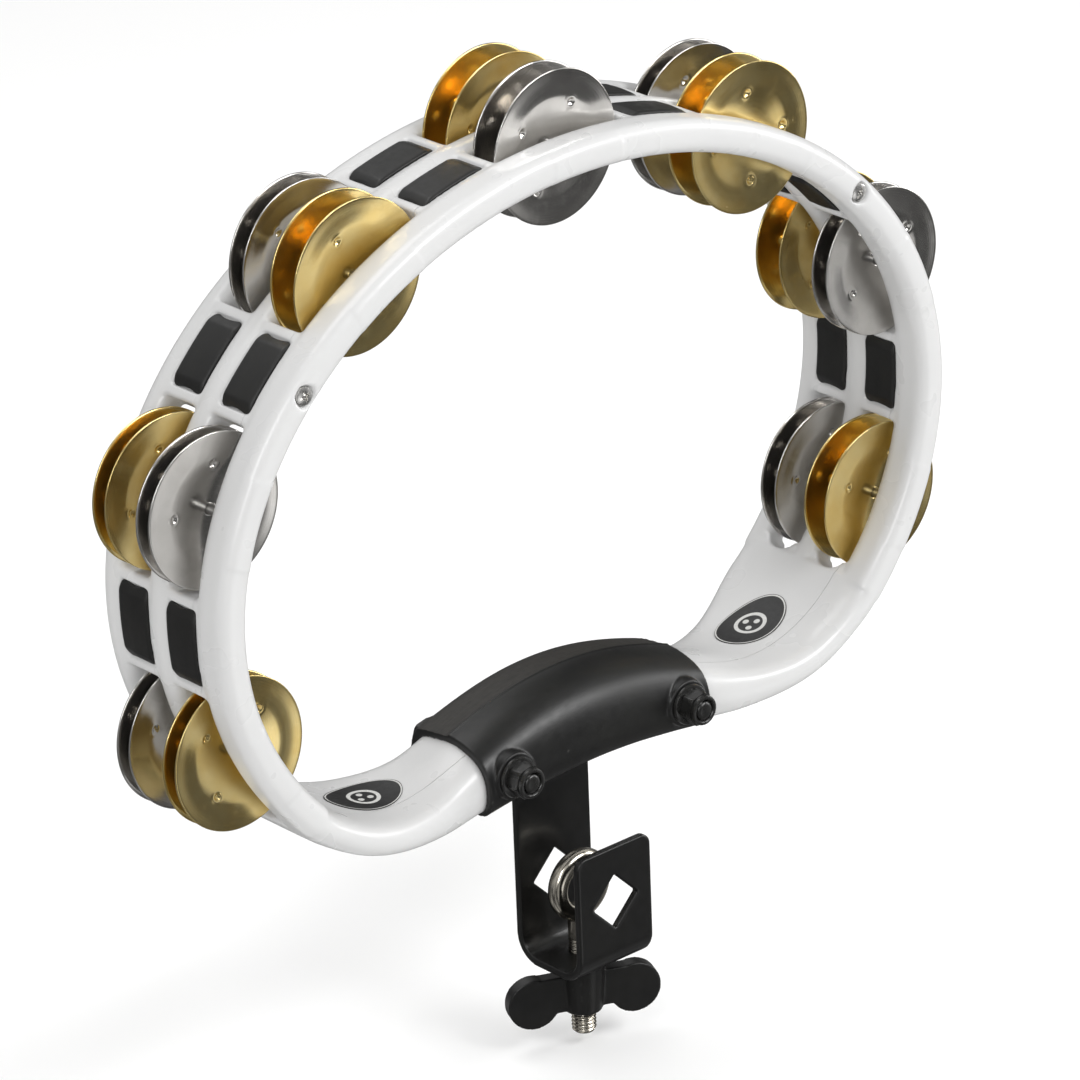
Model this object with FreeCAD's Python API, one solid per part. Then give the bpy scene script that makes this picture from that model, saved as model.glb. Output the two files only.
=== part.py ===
import FreeCAD, Part
import math
import os

V = FreeCAD.Vector
os.makedirs("parts", exist_ok=True)

# ---------------------------------------------------------------- dimensions (mm)
# Frame: +X along the handle, +Y away from the player's side, +Z away from the handle.
# Everything is laid out about the centre of the oval ring, half way through its depth.
# The exported parts have their origin in the middle of the eye of the clamp instead.
RING_A = 141.5            # half width of the oval centre line
RING_B = 111.0            # half height of the oval centre line
RIM_RADIAL = 10.6         # rim thickness measured across the oval
RIM_CORNER = 4.3          # rounding of the rim cross-section
RIM_RANGES = ((-28.5, -14.5), (-2.5, 7.5), (19.5, 28.5))   # depth of the three rims
SHELL_HALF_DEPTH = RIM_RANGES[2][1]
SPLIT_Y = RIM_RANGES[0][1]             # joint face between loose rim and frame
SLOT_END_ANGLE = -36.1    # where the slots end, on the oval's own angle (degrees)

STATION_STEP = 81.0       # jingle station spacing along the oval
STATIONS_PER_SIDE = 3

WEB_LENGTH = 30.6
WEB_RADIAL = 9.4
WEB_EMBED = 2.5
ROW_WIDTH = RIM_RANGES[1][0] - RIM_RANGES[0][1]   # both slots are this wide
SLOT_FILL = 3.6           # length of the rounded corner fill at a slot end
POCKET_FLOOR = 3.2        # web surface under an insert, from the centre line
POCKET_LENGTH = 24.2
POCKET_WIDTH = 13.1
WINDOW_LENGTH = 5.0
WINDOW_WIDTH = 8.0
WINDOW_OFFSET = 7.0

INSERT_LENGTH = 24.0
INSERT_WIDTH = 13.0
INSERT_TOP = 5.1          # pad height from the centre line of the oval
INSERT_TIP = 3.9          # pad height at its two ends
INSERT_SCOOP = 5.0        # length of the ramp at each end
INSERT_GAP = 0.04

PIN_R = 1.5
PIN_SOCKET_R = 1.56
PIN_HALF_LENGTH = 25.6
PIN_SOCKET_DEPTH = 26.0

JINGLE_HOLE_R = 1.57
JINGLE_SHEET = 0.7
# radius, rise of the dished disc over its hub
JINGLE_PROFILE = (
    (1.57, 0.0), (4.0, 0.05), (8.0, 0.35), (11.5, 0.85),
    (13.5, 1.18), (16.0, 1.4), (20.0, 1.62), (24.0, 2.0),
)
# how the loose pairs hang at rest, one line per station, front row then rear row:
# half distance between the two hubs, shift of the pair along its pin
JINGLE_PAIRS = (
    ((0.5, -1.2), (0.5, -1.8)),
    ((0.5, 0.0), (0.5, -2.0)),
    ((2.9, 0.0), (0.8, -1.2)),
    ((2.4, 0.0), (2.9, 0.0)),
    ((2.9, 0.0), (0.5, -1.0)),
    ((0.8, -1.0), (2.9, 0.0)),
    ((2.2, 0.0), (0.8, -0.8)),
)

RIM_SCREW_R = 1.5
RIM_SCREW_HOLE_R = 1.54
RIM_SCREW_TIP_Y = -4.0
RIM_SCREW_HEAD_R = 2.9
RIM_SCREW_HEAD = 1.7
RIM_RECESS_R = 3.5
RIM_RECESS = 2.6
RIM_SCREW_SLOT = 0.9

FLOOR_PROUD = 0.15
CREST_Y = -6.0            # ridge line on top of the handle
CREST_REAR_DROP = 2.0     # fall of the top from the ridge to the rear edge
CREST_FRONT_POWER = 2.0
# x, z, outward tilt (deg), height below, height above, crest height, depth to the front, depth to the rear
HANDLE_STATIONS = (
    (104.4, -74.0, 35.5, 5.3, 5.3, 0.0, 28.65, 28.4),
    (93.8, -79.9, 23.0, 5.3, 5.3, 0.0, 28.6, 25.0),
    (82.0, -83.3, 9.5, 5.5, 5.3, 0.0, 28.2, 20.0),
    (70.0, -84.1, -2.0, 6.4, 5.4, 0.3, 26.8, 15.4),
    (58.0, -83.5, -7.0, 7.6, 5.6, 2.1, 24.6, 11.8),
    (45.0, -82.0, -8.5, 8.2, 6.0, 5.0, 22.6, 9.8),
    (30.0, -80.1, -6.5, 8.2, 6.6, 7.5, 22.5, 9.6),
    (15.0, -78.7, -3.5, 8.0, 7.0, 9.0, 22.8, 9.8),
)
HANDLE_MIDDLE = (0.0, -78.2, 0.0, 7.9, 7.0, 9.6, 23.0, 10.0)
SECTION_POINTS = 16       # points over each half of a handle cross-section
SECTION_POWER = 9         # squareness of its rounded sides

SADDLE_HALF = 45.5
SADDLE_WALL = 2.4
SADDLE_GAP = 0.05
SADDLE_OPEN_FRONT = -18.2  # edges of the opening under the cover
SADDLE_OPEN_REAR = 5.6
SADDLE_BOTTOM_LIP = 0.7

BOLT_X = 35.5
BOLT_Z = -78.8
BOLT_R = 3.0
BOLT_HOLE_R = 3.1
BOLT_HEAD_Y = 13.2        # seat of the head
BOLT_NUT_Y = -25.6        # seat of the washer under the nut
BOLT_HEAD_R = 5.7         # across corners / 2
BOLT_HEAD_HEIGHT = 4.0
BOLT_TIP_Y = -33.6
WASHER_R = 6.6
WASHER_THICK = 1.4
NUT_HEIGHT = 5.2
PAD_R = 7.6

PLATE = 2.5
STRAP_HALF = 15.0
STRAP_Y = -1.2            # front face of the rear wall
CLAMP_GAP = 25.0
CLAMP_TOP = -114.6
CLAMP_BOTTOM = -157.8
CLAMP_BEND = 9.0
TANG_HALF = 43.0
TANG_TOP = -73.0
TANG_BOTTOM = -83.2
TANG_GAP = 0.1
DIAMOND_SIDE = 13.2
ROD_Z = -133.0            # middle of the two square holes
WALL_CORNER = 3.5

EYE_Z = ROD_Z             # level with the square holes, so that a rod slips straight through
EYE_R = 11.8
EYE_BORE_R = 6.6
EYE_THICK = 5.8
EYE_ROUND = 2.6          # rounding of the outer edges of the eye
EYE_BORE_ROUND = 1.0
SHANK_R = 3.95
SHANK_TIP = -184.0
SHANK_HOLE_R = 4.02
SHANK_CHAMFER = 0.8

WING_HUB_R = 7.4
WING_HUB_TIP_R = 6.0
WING_TOP = -157.85
WING_HUB = 18.5
WING_SPAN = 25.0
WING_R = 8.4
WING_THICK = 5.0
WING_ANGLE = -24.0
WING_Z = -171.3
WING_NECK_TOP = -163.3
WING_NECK_LOW = -175.6

LABEL_THICK = 0.35
LABEL_CENTRES = ((-79.0, -4.0), (87.5, 0.0))   # x, y of the two stickers
LABEL_HALF_LENGTH = 13.2
LABEL_HALF_WIDTH = 9.6
LABEL_TILT = 9.5

EYEBOLT_Y = STRAP_Y - CLAMP_GAP / 2 + 2.0    # its hole is nearer the rear wall
FRAME_ORIGIN = V(0, EYEBOLT_Y, EYE_Z)


# ---------------------------------------------------------------- oval centre line
def oval_point(t):
    return V(RING_A * math.cos(t), 0, RING_B * math.sin(t))


def oval_normal(t):
    n = V(math.cos(t) / RING_A, 0, math.sin(t) / RING_B)
    return n.normalize()


def oval_tangent(t):
    return V(-RING_A * math.sin(t), 0, RING_B * math.cos(t)).normalize()


def oval_walk(distance, start=math.pi / 2):
    """Angle reached after walking a distance clockwise from the top."""
    steps = max(1, int(abs(distance) / 0.05))
    ds = distance / steps
    t = start
    for _ in range(steps):
        middle = t
        speed = math.hypot(RING_A * math.sin(middle), RING_B * math.cos(middle))
        t -= ds / speed
    return t


def offset_point(t, radial, y=0.0):
    return oval_point(t) + oval_normal(t) * radial + V(0, y, 0)


def station_angles():
    count = STATIONS_PER_SIDE
    return [oval_walk(k * STATION_STEP) for k in range(-count, count + 1)]


def web_angles():
    count = STATIONS_PER_SIDE
    return [oval_walk((k + 0.5) * STATION_STEP) for k in range(-count, count)]


# ---------------------------------------------------------------- small helpers
def spline_edge(points):
    curve = Part.BSplineCurve()
    curve.interpolate(points)
    return curve.toShape()


def closed_spline_wire(points):
    curve = Part.BSplineCurve()
    curve.interpolate(Points=points, PeriodicFlag=True)
    return Part.Wire(curve.toShape())


def cylinder_y(radius, y0, y1, x, z):
    return Part.makeCylinder(radius, y1 - y0, V(x, y0, z), V(0, 1, 0))


def arc_slab(t_middle, length, low, high, y0, y1):
    """Block that follows the oval between two radial offsets."""
    distance = math.hypot(RING_A * math.sin(t_middle), RING_B * math.cos(t_middle))
    half = length / 2 / distance
    spread = [t_middle - half + half * k / 4 for k in range(9)]
    lower = spline_edge([offset_point(t, low, y0) for t in spread])
    upper = spline_edge([offset_point(t, high, y0) for t in spread])
    first = Part.makeLine(offset_point(spread[0], low, y0), offset_point(spread[0], high, y0))
    last = Part.makeLine(offset_point(spread[-1], low, y0), offset_point(spread[-1], high, y0))
    face = Part.Face(Part.Wire(Part.__sortEdges__([lower, last, upper, first])))
    return face.extrude(V(0, y1 - y0, 0))


def export(shape, node):
    shape.translate(-FRAME_ORIGIN)
    shape.exportStep("parts/" + node + ".step")
    print(node, len(shape.Solids), shape.isValid(), round(shape.Volume, 1))


def local_placement(t):
    """Local X along the oval tangent, local Y through the depth, local Z outward."""
    tangent = oval_tangent(t)
    normal = oval_normal(t)
    rotation = FreeCAD.Rotation(tangent * -1, V(0, 1, 0), normal, "ZXY")
    return FreeCAD.Placement(oval_point(t), rotation)


# ---------------------------------------------------------------- white shell
def rim_profile(t, y, half_d):
    """Rounded cross-section of one rim, standing at angle t."""
    half_r = RIM_RADIAL / 2
    c = RIM_CORNER
    base = oval_point(t)
    n = oval_normal(t)

    def at(radial, depth):
        return base + n * radial + V(0, y + depth, 0)

    diagonal = c * (1 - math.sqrt(0.5))
    edges = []
    for sr, sd in ((1, 1), (1, -1), (-1, -1), (-1, 1)):
        begin = at(sr * (half_r - c), sd * half_d)
        middle = at(sr * (half_r - diagonal), sd * (half_d - diagonal))
        end = at(sr * half_r, sd * (half_d - c))
        edges.append(Part.Arc(begin, middle, end).toShape())
    for sr in (1, -1):
        edges.append(Part.makeLine(at(sr * half_r, half_d - c), at(sr * half_r, c - half_d)))
    for sd in (1, -1):
        edges.append(Part.makeLine(at(half_r - c, sd * half_d), at(c - half_r, sd * half_d)))
    return Part.Wire(Part.__sortEdges__(edges))


def make_rim(y_range):
    y = sum(y_range) / 2
    half_depth = (y_range[1] - y_range[0]) / 2
    start = math.radians(SLOT_END_ANGLE - 1.0)
    end = math.pi - start
    steps = 72
    angles = [start + (end - start) * k / steps for k in range(steps + 1)]
    spine = Part.Wire(spline_edge([offset_point(t, 0, y) for t in angles]))
    shell = Part.BRepOffsetAPI.MakePipeShell(spine)
    shell.setBiNormalMode(V(0, 1, 0))
    shell.add(rim_profile(start, y, half_depth))
    shell.build()
    shell.makeSolid()
    return shell.shape()


def crest_height(y, crest, front, rear):
    """Extra height of the top surface: curved fall to the front, slight fall to the rear."""
    if y < CREST_Y:
        fall = (CREST_Y - y) / (front + CREST_Y)
        return crest * (1 - fall ** CREST_FRONT_POWER)
    fall = (y - CREST_Y) / (rear - CREST_Y)
    return crest - min(crest, CREST_REAR_DROP) * fall


def handle_section(station, grow=0.0, bottom_grow=None):
    """Closed cross-section of the handle at one station of its centre line."""
    x, z, tilt, below, above, crest, front, rear = station
    if bottom_grow is None:
        bottom_grow = grow
    front += grow
    rear += grow
    out = V(math.sin(math.radians(tilt)), 0, -math.cos(math.radians(tilt)))
    base = V(x, 0, z)
    points = []
    for k in range(2 * SECTION_POINTS):
        phi = math.pi * k / SECTION_POINTS
        y = (rear - front) / 2 + (rear + front) / 2 * math.cos(phi)
        round_edge = math.sqrt(1 - abs(math.cos(phi)) ** SECTION_POWER)
        if k <= SECTION_POINTS:
            top = above + grow + crest_height(y, crest, front, rear)
            height = -top * round_edge
        else:
            height = (below + bottom_grow) * round_edge
        points.append(base + out * height + V(0, y, 0))
    return closed_spline_wire(points)


def slot_end_station(side_angle):
    t = math.radians(side_angle)
    p = oval_point(t)
    n = oval_normal(t)
    tilt = math.degrees(math.atan2(n.x, -n.z))
    half = RIM_RADIAL / 2 + FLOOR_PROUD
    depth = SHELL_HALF_DEPTH + FLOOR_PROUD
    return (p.x, p.z, tilt, half, half, 0.0, depth, depth)


def mirrored(station):
    return (-station[0], station[1], -station[2]) + station[3:]


def handle_stations():
    right = [slot_end_station(SLOT_END_ANGLE)] + list(HANDLE_STATIONS)
    left = [mirrored(s) for s in reversed(right)]
    return right + [HANDLE_MIDDLE] + left


def handle_loft(grow=0.0, bottom_grow=None):
    wires = [handle_section(s, grow, bottom_grow) for s in handle_stations()]
    return Part.makeLoft(wires, True, False, False, 5)


def make_web(t):
    half = WEB_RADIAL / 2
    y0 = RIM_RANGES[0][1] - WEB_EMBED
    y1 = RIM_RANGES[2][0] + WEB_EMBED
    return arc_slab(t, WEB_LENGTH, -half, half, y0, y1)


def make_slot_corners(t_end, y):
    """Small fill with a round cut, so that a slot ends in a half circle."""
    side = 1 if math.cos(t_end) > 0 else -1
    half = WEB_RADIAL / 2
    width = ROW_WIDTH / 2
    fill = Part.makeBox(SLOT_FILL + 1, ROW_WIDTH + 2 * WEB_EMBED, WEB_RADIAL)
    fill.translate(V(-1, -width - WEB_EMBED, -half))
    fill = fill.cut(Part.makeCylinder(width, 4 * half, V(width, 0, -2 * half), V(0, 0, 1)))
    tangent = oval_tangent(t_end) * side
    rotation = FreeCAD.Rotation(tangent, V(), oval_normal(t_end), "ZXY")
    fill.Placement = FreeCAD.Placement(offset_point(t_end, 0, y), rotation)
    return fill


def row_centres():
    front = (RIM_RANGES[0][1] + RIM_RANGES[1][0]) / 2
    rear = (RIM_RANGES[1][1] + RIM_RANGES[2][0]) / 2
    return (front, rear)


def insert_pockets(t):
    """Shallow seats for the insert pads on both faces of a web."""
    cutters = []
    deep = RIM_RADIAL
    for y in row_centres():
        y0 = y - POCKET_WIDTH / 2
        y1 = y + POCKET_WIDTH / 2
        cutters.append(arc_slab(t, POCKET_LENGTH, POCKET_FLOOR, deep, y0, y1))
        cutters.append(arc_slab(t, POCKET_LENGTH, -deep, -POCKET_FLOOR, y0, y1))
    return cutters


def web_windows(t):
    """Two square windows through a web for the legs of one insert."""
    cutters = []
    for y in row_centres():
        for shift in (-WINDOW_OFFSET, WINDOW_OFFSET):
            box = Part.makeBox(WINDOW_LENGTH, WINDOW_WIDTH, 2 * WEB_RADIAL)
            box.translate(V(-WINDOW_LENGTH / 2 + shift, y - WINDOW_WIDTH / 2, -WEB_RADIAL))
            box.Placement = local_placement(t).multiply(box.Placement)
            cutters.append(box)
    return cutters


def pin_sockets():
    return [
        cylinder_y(PIN_SOCKET_R, -PIN_SOCKET_DEPTH, PIN_SOCKET_DEPTH, oval_point(t).x, oval_point(t).z)
        for t in station_angles()
    ]


def screw_angles():
    angles = web_angles()
    return (angles[1], angles[-2])


def rim_screw_holes():
    cutters = []
    for t in screw_angles():
        p = oval_point(t)
        cutters.append(cylinder_y(RIM_SCREW_HOLE_R, -SHELL_HALF_DEPTH - 1, RIM_SCREW_TIP_Y + 0.4, p.x, p.z))
        cutters.append(
            cylinder_y(RIM_RECESS_R, -SHELL_HALF_DEPTH - 1, -SHELL_HALF_DEPTH + RIM_RECESS, p.x, p.z)
        )
    return cutters


def tang_shape(gap):
    """Upper plate of the clamp bracket, grown by a gap for its slot in the handle."""
    box = Part.makeBox(
        2 * (TANG_HALF + gap),
        PLATE + 2 * gap,
        TANG_TOP - TANG_BOTTOM + 2 * gap,
        V(-TANG_HALF - gap, STRAP_Y - gap, TANG_BOTTOM - gap),
    )
    return box


def handle_cutters():
    slot = tang_shape(TANG_GAP)
    mouth = Part.makeBox(
        2 * (TANG_HALF + TANG_GAP),
        PLATE + 2 * TANG_GAP,
        20,
        V(-TANG_HALF - TANG_GAP, STRAP_Y - TANG_GAP, TANG_BOTTOM - 18),
    )
    cutters = [slot, mouth]
    for x in (-BOLT_X, BOLT_X):
        cutters.append(cylinder_y(BOLT_HOLE_R, -60, 60, x, BOLT_Z))
    return cutters


def make_shell():
    shell = handle_loft()
    for y_range in RIM_RANGES:
        shell = shell.fuse(make_rim(y_range))
    for t in web_angles():
        shell = shell.fuse(make_web(t))
    right_end = math.radians(SLOT_END_ANGLE)
    for t_end in (right_end, math.pi - right_end):
        for y in row_centres():
            shell = shell.fuse(make_slot_corners(t_end, y))
    for t in web_angles():
        for cutter in insert_pockets(t) + web_windows(t):
            shell = shell.cut(cutter)
    for cutter in pin_sockets() + rim_screw_holes() + handle_cutters():
        shell = shell.cut(cutter)
    return shell


def split_shell(shell):
    big = 400.0
    front_box = Part.makeBox(2 * big, big, 2 * big, V(-big, SPLIT_Y - big, -big))
    return shell.common(front_box), shell.cut(front_box)


# ---------------------------------------------------------------- black inserts
def insert_pad(t, y, side):
    """One pad lying on the web, with a ramp at each end."""
    spread = math.hypot(RING_A * math.sin(t), RING_B * math.cos(t))
    half = INSERT_LENGTH / 2
    low = POCKET_FLOOR + INSERT_GAP / 2
    stops = (-half, -half + INSERT_SCOOP, half - INSERT_SCOOP, half)
    heights = (INSERT_TIP, INSERT_TOP, INSERT_TOP, INSERT_TIP)
    y0 = y - INSERT_WIDTH / 2
    outer = [offset_point(t + s / spread, side * h, y0) for s, h in zip(stops, heights)]
    inner = [offset_point(t + s / spread, side * low, y0) for s in stops]
    edges = [spline_edge(inner), spline_edge(outer)]
    edges.append(Part.makeLine(inner[0], outer[0]))
    edges.append(Part.makeLine(inner[-1], outer[-1]))
    face = Part.Face(Part.Wire(Part.__sortEdges__(edges)))
    return face.extrude(V(0, INSERT_WIDTH, 0))


def make_insert(t, y):
    shape = insert_pad(t, y, 1).fuse(insert_pad(t, y, -1))
    for shift in (-WINDOW_OFFSET, WINDOW_OFFSET):
        leg_length = WINDOW_LENGTH - 2 * INSERT_GAP
        leg_width = WINDOW_WIDTH - 2 * INSERT_GAP
        leg = Part.makeBox(leg_length, leg_width, 2 * POCKET_FLOOR + 0.6)
        leg.translate(V(shift - leg_length / 2, y - leg_width / 2, -POCKET_FLOOR - 0.3))
        leg.Placement = local_placement(t).multiply(leg.Placement)
        shape = shape.fuse(leg)
    return shape


# ---------------------------------------------------------------- jingles
def make_jingle(x, z, y_middle, half_gap, side):
    """Dished disc turned about the pin; side -1 is the disc nearer the player."""
    points = [V(r, h + half_gap, 0) for r, h in JINGLE_PROFILE]
    lower = spline_edge(points)
    upper_points = [V(p.x, p.y + JINGLE_SHEET, 0) for p in points]
    upper = spline_edge(upper_points)
    bore = Part.makeLine(points[0], upper_points[0])
    lip = Part.makeLine(points[-1], upper_points[-1])
    face = Part.Face(Part.Wire(Part.__sortEdges__([lower, lip, upper, bore])))
    disc = face.revolve(V(0, 0, 0), V(0, 1, 0), 360)
    if side < 0:
        disc = disc.mirror(V(0, 0, 0), V(0, 1, 0))
    disc.translate(V(x, y_middle, z))
    return disc


def make_pin(t):
    p = oval_point(t)
    pin = cylinder_y(PIN_R, -PIN_HALF_LENGTH, PIN_HALF_LENGTH, p.x, p.z)
    return pin.makeChamfer(0.4, [e for e in pin.Edges if e.Closed])


# ---------------------------------------------------------------- mount cover and fasteners
def make_saddle():
    outer = handle_loft(SADDLE_WALL, SADDLE_BOTTOM_LIP)
    limit = Part.makeBox(2 * SADDLE_HALF, 200, 200, V(-SADDLE_HALF, -100, -160))
    cover = outer.common(limit)
    for x in (-BOLT_X, BOLT_X):
        cover = cover.fuse(cylinder_y(PAD_R, BOLT_NUT_Y, BOLT_HEAD_Y, x, BOLT_Z))
    cover = cover.cut(handle_loft(SADDLE_GAP))
    opening = SADDLE_OPEN_REAR - SADDLE_OPEN_FRONT
    corner = V(-SADDLE_HALF - 1, SADDLE_OPEN_FRONT, -138)
    cover = cover.cut(Part.makeBox(2 * SADDLE_HALF + 2, opening, 60, corner))
    for x in (-BOLT_X, BOLT_X):
        cover = cover.cut(cylinder_y(BOLT_HOLE_R, -60, 60, x, BOLT_Z))
    return cover


def hexagon_y(corner_r, y0, y1, x, z):
    points = []
    for k in range(7):
        a = math.radians(60 * k + 12)
        points.append(V(x + corner_r * math.cos(a), y0, z + corner_r * math.sin(a)))
    return Part.Face(Part.makePolygon(points)).extrude(V(0, y1 - y0, 0))


def chamfered_hexagon(corner_r, y0, y1, x, z):
    hexagon = hexagon_y(corner_r, y0, y1, x, z)
    cone_in = Part.makeCone(
        corner_r * 0.93 + 2 * (y1 - y0), corner_r * 0.93, y1 - y0, V(x, y0, z), V(0, 1, 0)
    )
    return hexagon.common(cone_in)


def make_bolt(x):
    bolt = cylinder_y(BOLT_R, BOLT_TIP_Y, BOLT_HEAD_Y, x, BOLT_Z)
    head = chamfered_hexagon(BOLT_HEAD_R, BOLT_HEAD_Y, BOLT_HEAD_Y + BOLT_HEAD_HEIGHT, x, BOLT_Z)
    return bolt.fuse(head)


def make_washer(x):
    washer = cylinder_y(WASHER_R, BOLT_NUT_Y - WASHER_THICK, BOLT_NUT_Y, x, BOLT_Z)
    return washer.cut(cylinder_y(BOLT_R + 0.05, -60, 60, x, BOLT_Z))


def make_nut(x):
    seat = BOLT_NUT_Y - WASHER_THICK
    nut = chamfered_hexagon(BOLT_HEAD_R, -seat, -seat + NUT_HEIGHT, x, BOLT_Z)
    nut = nut.mirror(V(0, 0, 0), V(0, 1, 0))
    collar = cylinder_y(BOLT_HEAD_R * 0.82, seat - NUT_HEIGHT - 1.1, seat - NUT_HEIGHT, x, BOLT_Z)
    return nut.fuse(collar).cut(cylinder_y(BOLT_R + 0.05, -60, 60, x, BOLT_Z))


def make_rim_screw(t):
    p = oval_point(t)
    seat = -SHELL_HALF_DEPTH + RIM_RECESS
    screw = cylinder_y(RIM_SCREW_R, seat - RIM_SCREW_HEAD, RIM_SCREW_TIP_Y, p.x, p.z)
    head = cylinder_y(RIM_SCREW_HEAD_R, seat - RIM_SCREW_HEAD, seat, p.x, p.z)
    front = [e for e in head.Edges if e.Closed and e.CenterOfMass.y < seat - RIM_SCREW_HEAD / 2]
    head = head.makeFillet(0.8, front)
    screw = screw.fuse(head)
    for angle in (0, 90):
        slot = Part.makeBox(
            3.4, 1.0, RIM_SCREW_SLOT, V(-1.7, seat - RIM_SCREW_HEAD - 0.1, -RIM_SCREW_SLOT / 2)
        )
        slot.rotate(V(0, 0, 0), V(0, 1, 0), angle + 20)
        slot.translate(V(p.x, 0, p.z))
        screw = screw.cut(slot)
    return screw


# ---------------------------------------------------------------- rod clamp
def clamp_side_profile():
    """Side outline of the bent strap in the YZ plane, as a closed face."""
    front = STRAP_Y - CLAMP_GAP - PLATE
    rear = STRAP_Y + PLATE
    r = CLAMP_BEND
    q = r - PLATE
    k = math.sqrt(0.5)
    bottom = CLAMP_BOTTOM

    def arc(cy, cz, radius, sign):
        return Part.Arc(
            V(0, cy + sign * radius, cz),
            V(0, cy + sign * radius * k, cz - radius * k),
            V(0, cy, cz - radius),
        ).toShape()

    rear_c = (rear - r, bottom + r)
    front_c = (front + r, bottom + r)
    edges = [
        Part.makeLine(V(0, rear, TANG_TOP), V(0, rear, bottom + r)),
        arc(rear_c[0], rear_c[1], r, 1),
        Part.makeLine(V(0, rear - r, bottom), V(0, front + r, bottom)),
        arc(front_c[0], front_c[1], r, -1),
        Part.makeLine(V(0, front, bottom + r), V(0, front, CLAMP_TOP)),
        Part.makeLine(V(0, front, CLAMP_TOP), V(0, front + PLATE, CLAMP_TOP)),
        Part.makeLine(V(0, front + PLATE, CLAMP_TOP), V(0, front + PLATE, bottom + r)),
        arc(front_c[0], front_c[1], q, -1),
        Part.makeLine(V(0, front + r, bottom + PLATE), V(0, rear - r, bottom + PLATE)),
        arc(rear_c[0], rear_c[1], q, 1),
        Part.makeLine(V(0, rear - PLATE, bottom + r), V(0, rear - PLATE, TANG_TOP)),
        Part.makeLine(V(0, rear - PLATE, TANG_TOP), V(0, rear, TANG_TOP)),
    ]
    return Part.Face(Part.Wire(Part.__sortEdges__(edges)))


def diamond_cutter():
    half = DIAMOND_SIDE / math.sqrt(2)
    corners = [V(0, -60, half), V(half, -60, 0), V(0, -60, -half), V(-half, -60, 0), V(0, -60, half)]
    diamond = Part.Face(Part.makePolygon(corners)).extrude(V(0, 120, 0))
    diamond.translate(V(0, 0, ROD_Z))
    return diamond


def make_bracket():
    face = clamp_side_profile()
    face.translate(V(-STRAP_HALF, 0, 0))
    strap = face.extrude(V(2 * STRAP_HALF, 0, 0))
    front = STRAP_Y - CLAMP_GAP - PLATE
    corner_edges = []
    for edge in strap.Edges:
        centre = edge.CenterOfMass
        along_y = abs(edge.BoundBox.YLength - PLATE) < 0.01 and edge.BoundBox.ZLength < 0.01
        if along_y and abs(centre.z - CLAMP_TOP) < 0.01 and centre.y < front + PLATE:
            corner_edges.append(edge)
    strap = strap.makeFillet(WALL_CORNER, corner_edges)
    strap = strap.fuse(tang_shape(0.0))
    strap = strap.cut(diamond_cutter())
    hole = Part.makeCylinder(SHANK_HOLE_R, 20, V(0, EYEBOLT_Y, CLAMP_BOTTOM - 10), V(0, 0, 1))
    strap = strap.cut(hole)
    for x in (-BOLT_X, BOLT_X):
        strap = strap.cut(cylinder_y(BOLT_HOLE_R, -60, 60, x, BOLT_Z))
    return strap.removeSplitter()


def make_eyebolt():
    y0 = EYEBOLT_Y - EYE_THICK / 2
    ring = cylinder_y(EYE_R, y0, y0 + EYE_THICK, 0, EYE_Z)
    ring = ring.makeFillet(EYE_ROUND, [e for e in ring.Edges if e.Closed])
    top = EYE_Z - EYE_R + 1.5
    shank = Part.makeCylinder(SHANK_R, top - SHANK_TIP, V(0, EYEBOLT_Y, SHANK_TIP), V(0, 0, 1))
    tip = [e for e in shank.Edges if e.Closed and e.CenterOfMass.z < SHANK_TIP + 0.1]
    shank = shank.makeChamfer(SHANK_CHAMFER, tip)
    eye = ring.fuse(shank)
    eye = eye.cut(cylinder_y(EYE_BORE_R, y0 - 1, y0 + EYE_THICK + 1, 0, EYE_Z))
    rims = []
    for edge in eye.Edges:
        circle = edge.Closed and abs(edge.BoundBox.XLength - 2 * EYE_BORE_R) < 0.05
        if circle and edge.BoundBox.YLength < 0.05:
            rims.append(edge)
    return eye.makeFillet(EYE_BORE_ROUND, rims)


def make_wing_nut():
    centre = V(0, EYEBOLT_Y, 0)
    bottom = WING_TOP - WING_HUB
    hub = Part.makeCone(WING_HUB_TIP_R, WING_HUB_R, WING_HUB, V(0, 0, bottom), V(0, 0, 1))
    nut = hub
    for side in (-1, 1):
        x = side * (WING_SPAN - WING_R)
        disc = cylinder_y(WING_R, -WING_THICK / 2, WING_THICK / 2, x, WING_Z)
        neck = WING_NECK_TOP - WING_NECK_LOW
        root = Part.makeBox(abs(x), WING_THICK, neck, V(min(0, x), -WING_THICK / 2, WING_NECK_LOW))
        wing = disc.fuse(root).removeSplitter()
        nut = nut.fuse(wing)
    nut = nut.cut(Part.makeCylinder(SHANK_HOLE_R, 60, V(0, 0, bottom - 10), V(0, 0, 1)))
    nut.rotate(V(0, 0, 0), V(0, 0, 1), WING_ANGLE)
    nut.translate(centre)
    return nut


# ---------------------------------------------------------------- oval labels
def make_label(x, y):
    skin = handle_loft(LABEL_THICK).cut(handle_loft(0.01))
    ellipse = Part.Ellipse(V(0, 0, 0), LABEL_HALF_LENGTH, LABEL_HALF_WIDTH).toShape()
    prism = Part.Face(Part.Wire(ellipse)).extrude(V(0, 0, 14))
    prism.rotate(V(0, 0, 0), V(0, 1, 0), math.copysign(LABEL_TILT, -x))
    prism.translate(V(x, y, -83.0))
    return skin.common(prism)


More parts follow.
